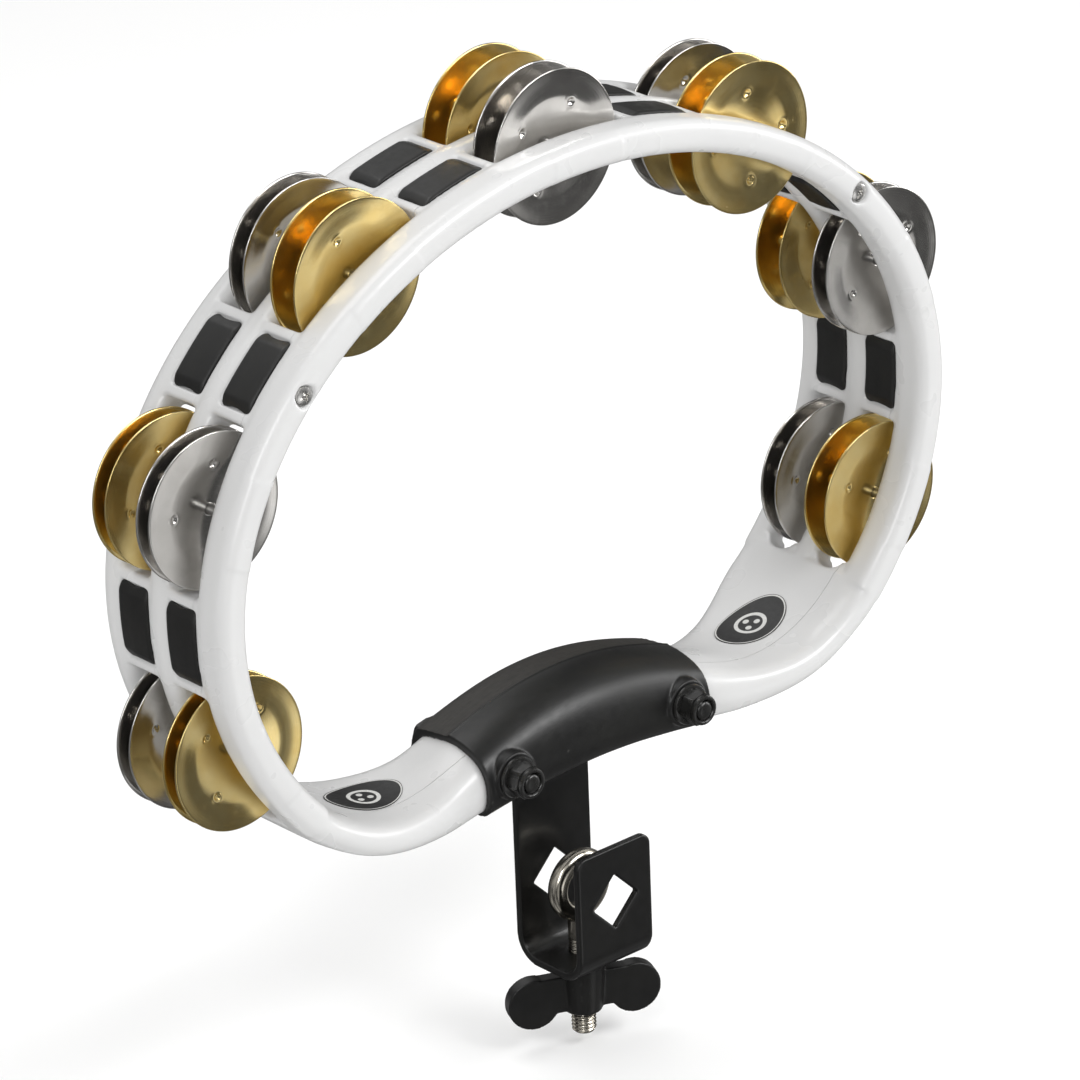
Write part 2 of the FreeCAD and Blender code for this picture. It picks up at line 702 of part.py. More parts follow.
# ---------------------------------------------------------------- build everything
def build():
    front_rim, frame_body = split_shell(make_shell())
    export(frame_body, "frame_body")
    export(front_rim, "front_rim")
    webs = web_angles()
    for row, y in enumerate(row_centres()):
        row_name = ("front", "rear")[row]
        for k, t in enumerate(webs):
            export(make_insert(t, y), "insert_%s_%d" % (row_name, k + 1))
    for k, t in enumerate(station_angles()):
        p = oval_point(t)
        export(make_pin(t), "jingle_pin_%d" % (k + 1))
        for row, y in enumerate(row_centres()):
            brass = (k + row) % 2 == 0
            metal = "brass" if brass else "steel"
            row_name = ("front", "rear")[row]
            half_gap, shift = JINGLE_PAIRS[k][row]
            for side, letter in ((-1, "a"), (1, "b")):
                node = "jingle_%s_%s_%d%s" % (metal, row_name, k + 1, letter)
                export(make_jingle(p.x, p.z, y + shift, half_gap, side), node)
    export(make_saddle(), "mount_cover")
    export(make_bracket(), "clamp_bracket")
    export(Part.Compound([make_bolt(-BOLT_X), make_bolt(BOLT_X)]), "cover_bolts")
    export(Part.Compound([make_washer(-BOLT_X), make_washer(BOLT_X)]), "cover_washers")
    export(Part.Compound([make_nut(-BOLT_X), make_nut(BOLT_X)]), "cover_nuts")
    export(Part.Compound([make_rim_screw(t) for t in screw_angles()]), "rim_screws")
    export(make_eyebolt(), "eyebolt")
    export(make_wing_nut(), "wing_nut")
    export(make_label(*LABEL_CENTRES[0]), "label_left")
    export(make_label(*LABEL_CENTRES[1]), "label_right")


build()
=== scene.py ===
import math

import bmesh
import bpy
import numpy as np
from mathutils import Matrix, Vector


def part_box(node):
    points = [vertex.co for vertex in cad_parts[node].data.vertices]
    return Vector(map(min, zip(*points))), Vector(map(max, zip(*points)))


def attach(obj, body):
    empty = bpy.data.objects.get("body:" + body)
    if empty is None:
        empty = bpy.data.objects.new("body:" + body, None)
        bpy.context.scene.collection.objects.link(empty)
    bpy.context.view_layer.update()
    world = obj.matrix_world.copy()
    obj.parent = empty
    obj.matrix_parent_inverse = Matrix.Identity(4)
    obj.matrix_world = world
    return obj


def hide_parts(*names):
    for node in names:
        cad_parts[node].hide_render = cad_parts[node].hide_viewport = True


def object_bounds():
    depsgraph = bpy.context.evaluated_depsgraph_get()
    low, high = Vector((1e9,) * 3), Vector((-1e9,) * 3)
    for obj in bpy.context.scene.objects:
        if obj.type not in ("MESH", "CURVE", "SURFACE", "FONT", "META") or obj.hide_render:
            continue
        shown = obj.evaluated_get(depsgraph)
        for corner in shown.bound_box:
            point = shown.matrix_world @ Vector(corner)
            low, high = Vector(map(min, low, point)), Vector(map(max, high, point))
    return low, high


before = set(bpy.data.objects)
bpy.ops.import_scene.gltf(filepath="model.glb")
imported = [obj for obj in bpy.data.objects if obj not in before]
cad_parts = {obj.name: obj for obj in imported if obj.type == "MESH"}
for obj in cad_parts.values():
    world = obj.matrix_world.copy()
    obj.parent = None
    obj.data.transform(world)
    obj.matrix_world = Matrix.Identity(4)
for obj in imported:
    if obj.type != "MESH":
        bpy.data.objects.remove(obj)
CAD_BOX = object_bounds()
MM = 0.001

# ------------------------------------------------------------ layout about the ring's centre (mm)
RING_A = 141.5
RING_B = 111.0
STATION_STEP = 81.0
STATIONS_PER_SIDE = 3
ROW_NAMES = ("front", "rear")
RIM_FRONT_Y = -28.5      # front face of the loose rim
EYEBOLT_Y = -11.7        # middle of the eye and its shank
SPLIT_Y = -13.9          # where the loose front rim parts from the rest
COVER_RIDGE_Y = -6.0     # ridge line on top of the grip cover


def oval_point(t):
    return Vector((RING_A * math.cos(t), 0, RING_B * math.sin(t)))


def oval_normal(t):
    return Vector((math.cos(t) / RING_A, 0, math.sin(t) / RING_B)).normalized()


def oval_walk(distance):
    """Angle reached after walking a distance clockwise from the top of the oval."""
    steps = max(1, int(abs(distance) / 0.05))
    t = math.pi / 2
    for _ in range(steps):
        t -= distance / steps / math.hypot(RING_A * math.sin(t), RING_B * math.cos(t))
    return t


def station_angles():
    return [oval_walk(k * STATION_STEP) for k in range(-STATIONS_PER_SIDE, STATIONS_PER_SIDE + 1)]


def web_angles():
    return [oval_walk((k + 0.5) * STATION_STEP) for k in range(-STATIONS_PER_SIDE, STATIONS_PER_SIDE)]


def box_centre(node):
    low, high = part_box(node)
    return (low + high) / 2


# centre of the oval ring in the frame, found from the eyebolt and the top pin
RING = Vector((0, box_centre("eyebolt").y - EYEBOLT_Y * MM, box_centre("jingle_pin_4").z - RING_B * MM))


# ------------------------------------------------------------ node materials
class Tree:
    """Small helper that adds shader nodes and links them by input name."""

    def __init__(self, name):
        self.material = bpy.data.materials.new(name)
        self.material.use_nodes = True
        self.nodes = self.material.node_tree.nodes
        self.links = self.material.node_tree.links
        self.bsdf = self.nodes["Principled BSDF"]
        self.coords = self.nodes.new("ShaderNodeTexCoord").outputs["Object"]

    def put(self, node, key, value):
        socket = node.inputs[key]
        if isinstance(value, bpy.types.NodeSocket):
            self.links.new(value, socket)
        else:
            socket.default_value = value

    def add(self, kind, settings=None, **inputs):
        node = self.nodes.new(kind)
        for key, value in (settings or {}).items():
            setattr(node, key, value)
        for key, value in inputs.items():
            self.put(node, key.replace("_", " "), value)
        return node

    def noise(self, scale, detail=3.0, roughness=0.55, coords=None):
        node = self.add("ShaderNodeTexNoise", Scale=scale, Detail=detail, Roughness=roughness)
        self.links.new(coords or self.coords, node.inputs["Vector"])
        return node.outputs["Fac"]

    def ramp(self, value, low, high, out_low=0.0, out_high=1.0):
        node = self.add("ShaderNodeMapRange", From_Min=low, From_Max=high, To_Min=out_low, To_Max=out_high)
        self.links.new(value, node.inputs["Value"])
        return node.outputs["Result"]

    def mix(self, factor, first, second):
        node = self.add("ShaderNodeMix", {"data_type": "RGBA"})
        self.put(node, 0, factor)
        self.put(node, 6, first)
        self.put(node, 7, second)
        return node.outputs[2]

    def math(self, operation, first, second=0.0):
        node = self.add("ShaderNodeMath", {"operation": operation})
        self.put(node, 0, first)
        self.put(node, 1, second)
        return node.outputs[0]

    def bump(self, height, distance, strength=1.0, normal=None):
        node = self.add("ShaderNodeBump", Strength=strength, Distance=distance)
        self.links.new(height, node.inputs["Height"])
        if normal is not None:
            self.links.new(normal, node.inputs["Normal"])
        return node.outputs["Normal"]

    def set(self, **inputs):
        for key, value in inputs.items():
            self.put(self.bsdf, key.replace("_", " "), value)
        return self.material


def colour(r, g, b):
    return (r, g, b, 1.0)


def gloss_white():
    t = Tree("gloss_white")
    patches = t.ramp(t.noise(25, 1), 0.3, 0.7)
    body = t.mix(patches, colour(0.572, 0.572, 0.570), colour(0.588, 0.588, 0.585))
    scuffs = t.ramp(t.noise(900, 5, 0.7), 0.70, 0.86, 0.0, 0.15)
    body = t.mix(scuffs, body, colour(0.50, 0.50, 0.49))
    rough = t.ramp(t.noise(70, 2), 0.3, 0.7, 0.26, 0.31)
    flow = t.bump(t.noise(22, 0), 0.00006, 0.25)
    grain = t.bump(t.noise(2300, 3), 0.000006, 0.4, flow)
    return t.set(
        Base_Color=body,
        Roughness=rough,
        Normal=grain,
        Subsurface_Weight=0.08,
        Subsurface_Radius=(0.003, 0.003, 0.003),
        Coat_Weight=0.15,
        Coat_Roughness=0.10,
    )


def moulded_black(name, shade, rough_low, rough_high, grain_scale, grain_depth, coat=0.0):
    t = Tree(name)
    cloud = t.ramp(t.noise(60, 3), 0.3, 0.7)
    base = t.mix(cloud, colour(shade, shade, shade * 0.96), colour(shade * 1.5, shade * 1.46, shade * 1.35))
    specks = t.ramp(t.noise(3200, 4, 0.8), 0.66, 0.80, 0.0, 0.4)
    base = t.mix(specks, base, colour(shade * 3.0, shade * 3.0, shade * 2.9))
    # lighter colour on sharp convex edges: partly edge wear, partly painted highlight
    edge = t.ramp(t.add("ShaderNodeNewGeometry").outputs["Pointiness"], 0.53, 0.62, 0.0, 0.35)
    base = t.mix(edge, base, colour(shade * 4.0, shade * 3.9, shade * 3.7))
    rough = t.ramp(t.noise(400, 4), 0.3, 0.7, rough_low, rough_high)
    grain = t.bump(t.noise(grain_scale, 4, 0.6), grain_depth, 0.6)
    return t.set(Base_Color=base, Roughness=rough, Normal=grain, Coat_Weight=coat, Coat_Roughness=0.15)


def spun_metal(name, light, dark, rough_low, rough_high, line_depth):
    """Metal turned about the local Y axis: fine rings, clouded polish, a few fingerprints."""
    t = Tree(name)
    parts = t.add("ShaderNodeSeparateXYZ", Vector=t.coords).outputs
    radius = t.math("SQRT", t.math("ADD", t.math("MULTIPLY", parts[0], parts[0]), t.math("MULTIPLY", parts[2], parts[2])))
    rings_at = t.add("ShaderNodeCombineXYZ", X=radius).outputs[0]
    rings = t.noise(2600, 2, 0.6, rings_at)
    apart = t.add("ShaderNodeVectorMath", {"operation": "ADD"})
    t.links.new(t.coords, apart.inputs[0])
    t.links.new(t.add("ShaderNodeObjectInfo").outputs["Random"], apart.inputs[1])
    own = apart.outputs[0]
    cloud = t.ramp(t.noise(90, 4, 0.6, own), 0.3, 0.7)
    base = t.mix(cloud, dark, light)
    smudge = t.ramp(t.noise(260, 5, 0.7, own), 0.55, 0.75, 0.0, 1.0)
    rough = t.math("ADD", t.ramp(rings, 0.3, 0.7, rough_low, rough_high), t.math("MULTIPLY", smudge, 0.07))
    lines = t.bump(rings, line_depth, 0.5)
    dents = t.bump(t.noise(70, 2, coords=own), 0.00008, 0.25, lines)
    return t.set(Base_Color=base, Metallic=1.0, Roughness=rough, Normal=dents)


def plated_metal(name, light, dark, rough_low, rough_high):
    t = Tree(name)
    cloud = t.ramp(t.noise(160, 4), 0.3, 0.7)
    base = t.mix(cloud, dark, light)
    rough = t.ramp(t.noise(700, 4), 0.3, 0.7, rough_low, rough_high)
    grain = t.bump(t.noise(2400, 3), 0.00001, 0.5)
    return t.set(Base_Color=base, Metallic=1.0, Roughness=rough, Normal=grain)


def label_print(name, node):
    """Printed oval: thin light border and a plain ring of dots on satin black."""
    t = Tree(name)
    low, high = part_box(node)
    centre = (low + high) / 2
    half = (high - low) / 2
    parts = t.add("ShaderNodeSeparateXYZ", Vector=t.coords).outputs
    across = t.math("SUBTRACT", parts[0], centre.x)
    along = t.math("SUBTRACT", parts[1], centre.y)
    u = t.math("DIVIDE", across, half.x)
    v = t.math("DIVIDE", along, half.y)
    ellipse = t.math("SQRT", t.math("ADD", t.math("MULTIPLY", u, u), t.math("MULTIPLY", v, v)))

    def band(value, middle, half_width):
        away = t.math("ABSOLUTE", t.math("SUBTRACT", value, middle))
        return t.ramp(away, half_width, half_width * 0.8)

    def distance(x, y):
        dx = t.math("SUBTRACT", across, x)
        dy = t.math("SUBTRACT", along, y)
        return t.math("SQRT", t.math("ADD", t.math("MULTIPLY", dx, dx), t.math("MULTIPLY", dy, dy)))

    ink = band(ellipse, 0.965, 0.02)
    ink = t.math("MAXIMUM", ink, band(distance(0.0, 0.0), 0.0046, 0.0007))
    for k in range(3):
        turn = math.radians(90 + 120 * k)
        dot = distance(0.0021 * math.cos(turn), 0.0021 * math.sin(turn))
        ink = t.math("MAXIMUM", ink, t.ramp(dot, 0.0011, 0.0009))
    fade = t.ramp(t.noise(1500, 3), 0.3, 0.7, 0.82, 1.0)
    black = t.mix(t.ramp(t.noise(500, 4), 0.3, 0.7), colour(0.012, 0.012, 0.012), colour(0.02, 0.02, 0.02))
    base = t.mix(t.math("MULTIPLY", ink, fade), black, colour(0.62, 0.62, 0.60))
    rough = t.ramp(t.noise(600, 3), 0.3, 0.7, 0.34, 0.46)
    return t.set(Base_Color=base, Roughness=rough, Normal=t.bump(t.noise(2600, 3), 0.00001, 0.4))


def cover_black():
    """Satin black with a drawn look on the flat strip behind the ridge; where that strip faces up it is lighter brown,
    partly dust and partly painted sheen.
    """
    t = Tree("cover_plastic")
    parts = t.add("ShaderNodeSeparateXYZ", Vector=t.coords).outputs
    strip = t.ramp(parts[1], (COVER_RIDGE_Y - 0.2) * MM, (COVER_RIDGE_Y + 0.5) * MM)
    rise = t.add("ShaderNodeNewGeometry")
    facing = t.add("ShaderNodeSeparateXYZ", Vector=rise.outputs["Normal"]).outputs[2]
    # only the upward-facing part of the strip: its lighter tone there is partly painted sheen
    strip = t.math("MULTIPLY", strip, t.ramp(facing, 0.3, 0.8))
    stretched = t.add("ShaderNodeVectorMath", {"operation": "MULTIPLY"})
    t.links.new(t.coords, stretched.inputs[0])
    stretched.inputs[1].default_value = (0.08, 1.0, 0.3)
    lines = t.noise(1500, 4, 0.7, stretched.outputs[0])
    cloud = t.ramp(t.noise(55, 3), 0.3, 0.7)
    plain = t.mix(cloud, colour(0.005, 0.005, 0.005), colour(0.009, 0.009, 0.008))
    # dust plus painted sheen: lighter brown drawn lines on the strip
    dust_and_sheen = t.mix(t.ramp(lines, 0.35, 0.65), colour(0.012, 0.011, 0.009), colour(0.024, 0.021, 0.017))
    base = t.mix(strip, plain, dust_and_sheen)
    # painted highlight: lighter colour on sharp convex edges and the ridge bead
    edge = t.ramp(rise.outputs["Pointiness"], 0.53, 0.62, 0.0, 0.35)
    base = t.mix(edge, base, colour(0.07, 0.068, 0.062))
    rough = t.ramp(t.noise(400, 4), 0.3, 0.7, 0.34, 0.42)
    rough = t.math("ADD", rough, t.math("MULTIPLY", strip, 0.12))
    height = t.math("ADD", t.noise(1800, 4, 0.6), t.math("MULTIPLY", lines, t.math("MULTIPLY", strip, 2.0)))
    return t.set(Base_Color=base, Roughness=rough, Normal=t.bump(height, 0.000015, 0.6))


WHITE = gloss_white()
INSERT = moulded_black("insert_rubber", 0.008, 0.40, 0.52, 2200, 0.000012)
COVER = cover_black()
BRACKET = moulded_black("bracket_powder_coat", 0.004, 0.28, 0.38, 1100, 0.000014, 0.15)
FASTENER = moulded_black("black_oxide", 0.007, 0.24, 0.34, 1500, 0.000006, 0.2)
WING = moulded_black("wing_plastic", 0.006, 0.30, 0.40, 1400, 0.000012)
BRASS = spun_metal("brass", colour(0.92, 0.75, 0.36), colour(0.84, 0.62, 0.23), 0.17, 0.23, 0.000004)
STEEL = spun_metal("steel", colour(0.80, 0.78, 0.75), colour(0.66, 0.64, 0.61), 0.13, 0.19, 0.000004)
PIN = plated_metal("pin_steel", colour(0.56, 0.56, 0.56), colour(0.44, 0.44, 0.43), 0.28, 0.40)
SCREW = plated_metal("screw_steel", colour(0.86, 0.85, 0.83), colour(0.74, 0.73, 0.71), 0.22, 0.32)
NICKEL = plated_metal("nickel", colour(0.70, 0.66, 0.58), colour(0.58, 0.54, 0.46), 0.14, 0.24)


# ------------------------------------------------------------ mesh helpers
def make_object(name, mesh, material, body, replaces=(), smooth=True):
    obj = bpy.data.objects.new(name, mesh)
    bpy.context.scene.collection.objects.link(obj)
    obj.matrix_world = Matrix.Translation(RING)
    mesh.materials.clear()
    mesh.materials.append(material)
    mesh.polygons.foreach_set("use_smooth", [smooth] * len(mesh.polygons))
    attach(obj, body)
    if replaces:
        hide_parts(*replaces)
    return obj


def mesh_from(name, verts, faces):
    mesh = bpy.data.meshes.new(name)
    mesh.from_pydata([tuple(v) for v in verts], [], faces)
    mesh.validate()
    mesh.update()
    return mesh


def outward(mesh):
    bm = bmesh.new()
    bm.from_mesh(mesh)
    bmesh.ops.recalc_face_normals(bm, faces=bm.faces)
    bm.to_mesh(mesh)
    bm.free()
    return mesh


def cad_copy(nodes, name):
    """Joined copy of CAD meshes, laid out about the ring's centre."""
    bm = bmesh.new()
    for node in nodes:
        bm.from_mesh(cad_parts[node].data)
    bmesh.ops.remove_doubles(bm, verts=bm.verts, dist=1e-6)
    bmesh.ops.translate(bm, verts=bm.verts, vec=-RING)
    mesh = bpy.data.meshes.new(name)
    bm.to_mesh(mesh)
    bm.free()
    return mesh


def softened(mesh, name, voxel, passes):
    """Remeshes a solid to an even grid and relaxes it, which rounds every edge."""
    obj = bpy.data.objects.new(name, mesh)
    bpy.context.scene.collection.objects.link(obj)
    remesh = obj.modifiers.new("even", "REMESH")
    remesh.mode = "VOXEL"
    remesh.voxel_size = voxel
    relax = obj.modifiers.new("relax", "SMOOTH")
    relax.factor = 0.5
    relax.iterations = passes
    depsgraph = bpy.context.evaluated_depsgraph_get()
    result = bpy.data.meshes.new_from_object(obj.evaluated_get(depsgraph))
    bpy.data.objects.remove(obj)
    result.name = name
    return result


def cut_half(mesh, name, y, keep_front):
    bm = bmesh.new()
    bm.from_mesh(mesh)
    geometry = bm.verts[:] + bm.edges[:] + bm.faces[:]
    cut = bmesh.ops.bisect_plane(
        bm,
        geom=geometry,
        plane_co=(0, y, 0),
        plane_no=(0, 1, 0),
        clear_outer=keep_front,
        clear_inner=not keep_front,
    )
    edges = [e for e in cut["geom_cut"] if isinstance(e, bmesh.types.BMEdge)]
    bmesh.ops.triangle_fill(bm, use_beauty=True, use_dissolve=False, edges=edges)
    bmesh.ops.recalc_face_normals(bm, faces=bm.faces)
    half = bpy.data.meshes.new(name)
    bm.to_mesh(half)
    bm.free()
    return half


def ring_strip(rows, columns, wrap_rows, wrap_columns):
    """Quads of a grid of points stored row by row."""
    faces = []
    for i in range(rows if wrap_rows else rows - 1):
        for j in range(columns if wrap_columns else columns - 1):
            i2, j2 = (i + 1) % rows, (j + 1) % columns
            faces.append((i * columns + j, i * columns + j2, i2 * columns + j2, i2 * columns + j))
    return faces


# ------------------------------------------------------------ white shell
FLAT_HALF = 13.5
FLAT_RISE = 0.28


def ease(values, start, end):
    """Smooth step from 0 at start to 1 at end."""
    u = np.clip((values - start) / (end - start), 0.0, 1.0)
    return u * u * (3 - 2 * u)


def read_points(mesh):
    points = np.empty(3 * len(mesh.vertices), dtype=np.float32)
    mesh.vertices.foreach_get("co", points)
    return points.reshape(-1, 3) / MM


def write_points(mesh, points):
    mesh.vertices.foreach_set("co", (points * MM).astype(np.float32).ravel())
    mesh.update()


def raise_station_flats(mesh):
    """Low flats with soft cross steps on the front face of the rim, one over each pin."""
    points = read_points(mesh)
    x, y, z = points.T
    face = 1 - ease(y, RIM_FRONT_Y + 1.0, RIM_FRONT_Y + 3.5)
    lift = np.zeros(len(points))
    for t in station_angles():
        centre, normal = oval_point(t), oval_normal(t)
        along = (x - centre.x) * normal.z - (z - centre.z) * normal.x
        across = (x - centre.x) * normal.x + (z - centre.z) * normal.z
        near = (np.abs(across) < 12) & (np.abs(along) < 2 * FLAT_HALF)
        lift += near * (1 - ease(np.abs(along), FLAT_HALF - 0.6, FLAT_HALF + 0.6))
    points[:, 1] -= FLAT_RISE * lift * face
    write_points(mesh, points)


def build_shell():
    shell = softened(cad_copy(("frame_body", "front_rim"), "shell"), "shell", 0.7 * MM, 6)
    raise_station_flats(shell)
    for name, keep_front in (("front_rim", True), ("frame_body", False)):
        half = cut_half(shell, name + "_shell", SPLIT_Y * MM, keep_front)
        make_object(name + "_shell", half, WHITE, "frame", (name,))


# ------------------------------------------------------------ black inserts
INSERT_HALF = 12.0
INSERT_HALF_WIDTH = 6.45
INSERT_BASE = 3.25
INSERT_TOP = 5.35


def insert_height(s, w):
    """Pad height over the oval's centre line at a place along and across the pad."""
    end = max(0.0, abs(s) - (INSERT_HALF - 3.4)) / 3.4
    side = max(0.0, abs(w) - (INSERT_HALF_WIDTH - 0.9)) / 0.9
    dip = 0.12 * math.cos(math.pi * min(1.0, abs(w) / INSERT_HALF_WIDTH))
    return INSERT_TOP - 1.5 * end ** 1.3 - 0.45 * side ** 2 + dip


def insert_mesh(name, t, y):
    spread = math.hypot(RING_A * math.sin(t), RING_B * math.cos(t))
    rows, columns = 49, 27
    verts, faces = [], []
    for side in (1, -1):
        for layer in (0, 1):
            for i in range(rows):
                for j in range(columns):
                    v = 2 * j / (columns - 1) - 1
                    corner = max(0.0, abs(v) - 0.64) / 0.36
                    reach = INSERT_HALF - 2.3 * (1 - math.sqrt(max(0.0, 1 - corner ** 2)))
                    reach -= 0.8 * (1 - min(1.0, abs(v) / 0.7) ** 2)
                    s = (2 * i / (rows - 1) - 1) * reach
                    w = v * INSERT_HALF_WIDTH
                    height = insert_height(s, w) if layer == 0 else INSERT_BASE
                    angle = t - s / spread
                    p = oval_point(angle) + oval_normal(angle) * (side * height)
                    verts.append((p.x * MM, (y + w) * MM, p.z * MM))
        base = (0 if side == 1 else 2) * rows * columns
        size = rows * columns
        top = ring_strip(rows, columns, False, False)
        faces += [tuple(base + k for k in f) for f in top]
        faces += [tuple(base + size + k for k in reversed(f)) for f in top]
        border = [j for j in range(columns)]
        border += [i * columns + columns - 1 for i in range(1, rows)]
        border += [(rows - 1) * columns + j for j in range(columns - 2, -1, -1)]
        border += [i * columns for i in range(rows - 2, 0, -1)]
        for a, b in zip(border, border[1:] + border[:1]):
            faces.append((base + a, base + b, base + size + b, base + size + a))
    return outward(mesh_from(name, verts, faces))


def build_inserts():
    for row in ROW_NAMES:
        for k, t in enumerate(web_angles()):
            node = "insert_%s_%d" % (row, k + 1)
            y = (box_centre(node).y - RING.y) / MM
            name = "pad_%s_%d" % (row, k + 1)
            obj = make_object(name, insert_mesh(name, t, y), INSERT, "frame", (node,))
            bevel = obj.modifiers.new("edge", "BEVEL")
            bevel.width = 0.35 * MM
            bevel.segments = 3
            bevel.angle_limit = math.radians(40)


# ------------------------------------------------------------ jingles
JINGLE_R = 24.0
JINGLE_SHEET = 0.7
JINGLE_RISE = 2.0
JINGLE_CURVE = (
    (1.57, 0.0), (3.0, 0.02), (5.0, 0.09), (7.5, 0.28), (10.0, 0.57), (12.5, 0.95), (14.5, 1.26),
    (15.7, 1.41), (16.6, 1.46), (18.0, 1.50), (20.5, 1.63), (23.0, 1.89), (24.0, JINGLE_RISE),
)
DIMPLE_R = 14.2
DIMPLE_COUNT = 4
DIMPLE_SIZE = 1.5
DIMPLE_DEPTH = 0.75


def smooth_curve(points, samples):
    """Monotone cubic through the points, read at the sample places."""
    x = np.array([p[0] for p in points])
    y = np.array([p[1] for p in points])
    slope = np.diff(y) / np.diff(x)
    tangent = np.concatenate(([slope[0]], (slope[1:] + slope[:-1]) / 2, [slope[-1]]))
    k = np.clip(np.searchsorted(x, samples, side="right") - 1, 0, len(x) - 2)
    h = x[k + 1] - x[k]
    u = (samples - x[k]) / h
    return (
        (2 * u ** 3 - 3 * u ** 2 + 1) * y[k]
        + (u ** 3 - 2 * u ** 2 + u) * h * tangent[k]
        + (3 * u ** 2 - 2 * u ** 3) * y[k + 1]
        + (u ** 3 - u ** 2) * h * tangent[k + 1]
    )


def jingle_mesh():
    """One disc about the local Y axis, hollow side towards -Y, its partner on the +Y side."""
    segments = 192
    radii = np.concatenate((np.linspace(1.57, 12.0, 16)[:-1], np.linspace(12.0, 17.2, 18)[:-1], np.linspace(17.2, 23.6, 12)))
    heights = smooth_curve(JINGLE_CURVE, radii)
    lip = []
    for a in (-60, -20, 20, 60):
        turn = math.radians(a)
        lip.append((JINGLE_R - 0.35 + 0.35 * math.cos(turn), JINGLE_RISE + JINGLE_SHEET / 2 + 0.35 * math.sin(turn)))
    inner = [(r, h) for r, h in zip(radii, heights)]
    outer = [(r, h + JINGLE_SHEET) for r, h in zip(radii, heights)]
    profile = inner + lip + outer[::-1]
    verts = []
    for r, h in profile:
        for k in range(segments):
            a = 2 * math.pi * k / segments
            nearest = round((a / (2 * math.pi)) * DIMPLE_COUNT) * 2 * math.pi / DIMPLE_COUNT
            gap = math.hypot(r * math.cos(a) - DIMPLE_R * math.cos(nearest), r * math.sin(a) - DIMPLE_R * math.sin(nearest))
            pit = DIMPLE_DEPTH * math.exp(-((gap / DIMPLE_SIZE * 1.5) ** 4))
            lift = 0.10 * math.exp(-(((gap - DIMPLE_SIZE * 1.15) / 0.45) ** 2))
            verts.append((r * math.cos(a) * MM, -(h - pit + lift) * MM, r * math.sin(a) * MM))
    return outward(mesh_from("jingle", verts, ring_strip(len(profile), segments, True, True)))


def build_jingles():
    shape = jingle_mesh()
    shape.polygons.foreach_set("use_smooth", [True] * len(shape.polygons))
    turn_index = 0
    for k in range(2 * STATIONS_PER_SIDE + 1):
        for row, row_name in enumerate(ROW_NAMES):
            metal = "brass" if (k + row) % 2 == 0 else "steel"
            for letter, flip in (("a", 0.0), ("b", math.pi)):
                node = "jingle_%s_%s_%d%s" % (metal, row_name, k + 1, letter)
                name = "disc_%s_%d%s" % (row_name, k + 1, letter)
                turn_index += 1
                mesh = shape.copy()
                mesh.transform(Matrix.Rotation(math.radians(37 * turn_index % 90), 4, "Y"))
                mesh.materials.append(BRASS if metal == "brass" else STEEL)
                obj = bpy.data.objects.new(name, mesh)
                bpy.context.scene.collection.objects.link(obj)
                pin = box_centre("jingle_pin_%d" % (k + 1))
                low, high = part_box(node)
                hub = high.y if letter == "a" else low.y
                obj.matrix_world = Matrix.Translation((pin.x, hub, pin.z)) @ Matrix.Rotation(flip, 4, "X")
                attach(obj, "jingle_%s_%d%s" % (row_name, k + 1, letter))
                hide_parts(node)


# ------------------------------------------------------------ cover and bracket
def crease_cover(mesh):
    """Ridge bead on top of the cover, with the strip behind it set a little lower."""
    points = read_points(mesh)
    y = points[:, 1]
    normals = np.empty(3 * len(mesh.vertices), dtype=np.float32)
    mesh.vertex_normals.foreach_get("vector", normals)
    top = ease(normals.reshape(-1, 3)[:, 2], 0.35, 0.7)
    bead = 0.30 * np.exp(-((y - COVER_RIDGE_Y) / 0.42) ** 2)
    sunk = 0.35 * ease(y, COVER_RIDGE_Y, COVER_RIDGE_Y + 0.6) * (1 - ease(y, 6.0, 9.5))
    points[:, 2] += top * (bead - sunk)
    write_points(mesh, points)


def build_softened():
    jobs = (
        ("grip_cover", "mount_cover", COVER, "frame", "cover_black", 0.42, 4),
        ("bracket_strap", "clamp_bracket", BRACKET, "frame", "bracket_black", 0.40, 3),
        ("wing_nut_body", "wing_nut", WING, "wing_nut", "wing_nut_black", 0.35, 5),
    )
    for name, node, material, body, slot, voxel, passes in jobs:
        mesh = softened(cad_copy((node,), name), name, voxel * MM, passes)
        if node == "mount_cover":
            crease_cover(mesh)
        make_object(name, mesh, material, body, (node,))


# ------------------------------------------------------------ fasteners
BOLT_X = 35.5
BOLT_Z = -78.8
HEAD_SEAT_Y = 13.2
WASHER_SEAT_Y = -25.6
NUT_SEAT_Y = -27.0
BOLT_TIP_Y = -33.5
HEX_CORNER = 5.7
# outline rows: corner radius of the hexagon or None, largest radius, height over the seat
NUT_ROWS = (
    (HEX_CORNER, 5.1, 0.0), (HEX_CORNER, 5.7, 0.5), (HEX_CORNER, 5.7, 3.9), (HEX_CORNER, 5.2, 4.5),
    (None, 4.75, 4.55), (None, 4.85, 4.8), (None, 4.85, 5.6), (None, 4.7, 6.0), (None, 4.35, 6.2),
    (None, 3.85, 6.2), (None, 3.5, 5.9), (None, 3.3, 5.3), (None, 3.08, 5.2), (None, 3.08, 0.0),
)
WASHER_ROWS = (
    (None, 6.35, 0.0), (None, 6.58, 0.2), (None, 6.58, 0.8), (None, 6.3, 1.25), (None, 5.9, 1.38),
    (None, 3.08, 1.38), (None, 3.08, 0.0),
)
HEAD_ROWS = (
    (HEX_CORNER, 5.7, 0.0), (HEX_CORNER, 5.7, 3.2), (HEX_CORNER, 5.3, 3.65), (HEX_CORNER, 4.7, 3.9),
    (None, 3.6, 3.95), (None, 1.6, 3.9), (None, 0.05, 3.88),
)
STUD_ROWS = (
    (None, 0.05, 0.0), (None, 1.7, 0.03), (None, 2.25, 0.12), (None, 2.85, 0.55), (None, 2.96, 0.8),
    (None, 2.55, 1.2), (None, 2.96, 1.6), (None, 2.96, 46.7),
)


